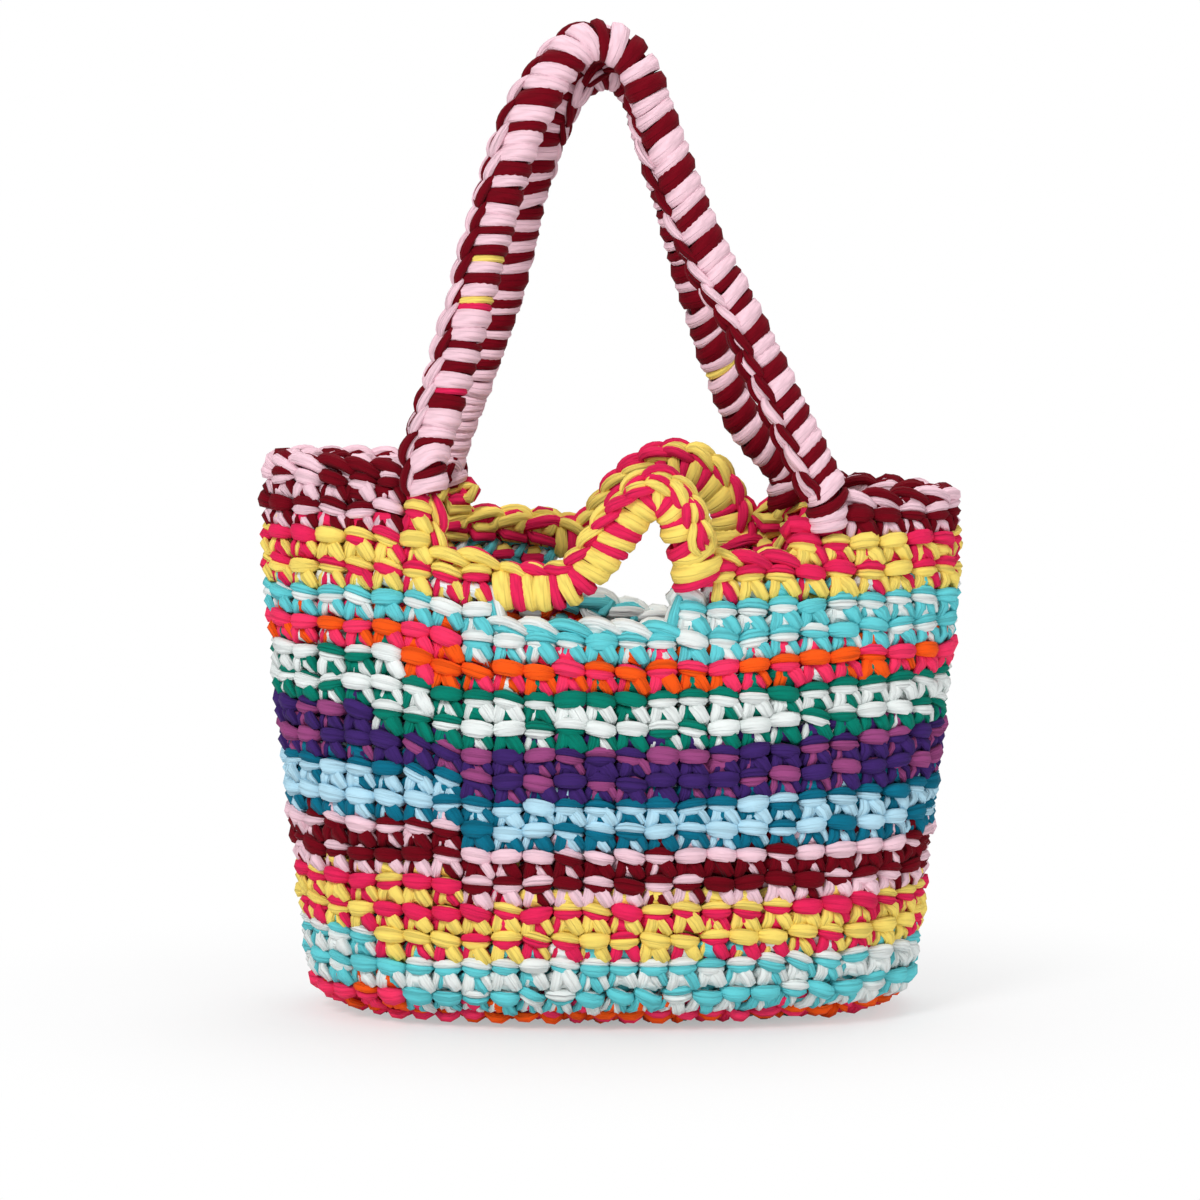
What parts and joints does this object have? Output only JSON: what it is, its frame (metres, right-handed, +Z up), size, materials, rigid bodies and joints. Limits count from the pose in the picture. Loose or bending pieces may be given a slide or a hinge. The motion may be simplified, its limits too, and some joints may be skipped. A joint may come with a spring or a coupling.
{
  "type": "crocheted tote bag",
  "caption": "Oval-based tote crocheted in thick two-colour jersey yarn, with colour bands, two wrapped shoulder handles and hand grips over two slots.",
  "frame": {"origin": "on the surface that the bag stands on, under the middle of the bag", "axes": "+Z up, +X to the right of someone who looks at the front, front towards -Y"},
  "size_m": [0.399, 0.1776, 0.5726],
  "materials": {
    "yarn_green": "matte cotton jersey yarn, green held together with white",
    "yarn_orange": "matte cotton jersey yarn, orange held together with hot pink",
    "yarn_turquoise": "matte cotton jersey yarn, turquoise held together with white",
    "yarn_yellow": "matte cotton jersey yarn, yellow held together with magenta",
    "yarn_burgundy": "matte cotton jersey yarn, burgundy held together with light pink",
    "yarn_blue": "matte cotton jersey yarn, light blue held together with teal",
    "yarn_purple": "matte cotton jersey yarn, deep purple held together with mauve"
  },
  "bodies": {
    "root": {"base": "yarn_green", "band_orange_lower": "yarn_orange", "band_turquoise_lower": "yarn_turquoise", "band_yellow_lower": "yarn_yellow", "band_burgundy_lower": "yarn_burgundy", "band_blue": "yarn_blue", "band_purple": "yarn_purple", "band_green": "yarn_green", "band_orange_upper": "yarn_orange", "band_turquoise_upper": "yarn_turquoise", "band_yellow_upper_left": "yarn_yellow", "band_yellow_upper_right": "yarn_yellow", "rim_left": "yarn_burgundy", "rim_right": "yarn_burgundy", "handle_front": "yarn_burgundy", "handle_back": "yarn_burgundy", "grip_front": "yarn_yellow", "grip_back": "yarn_yellow"}
  },
  "joints": []
}
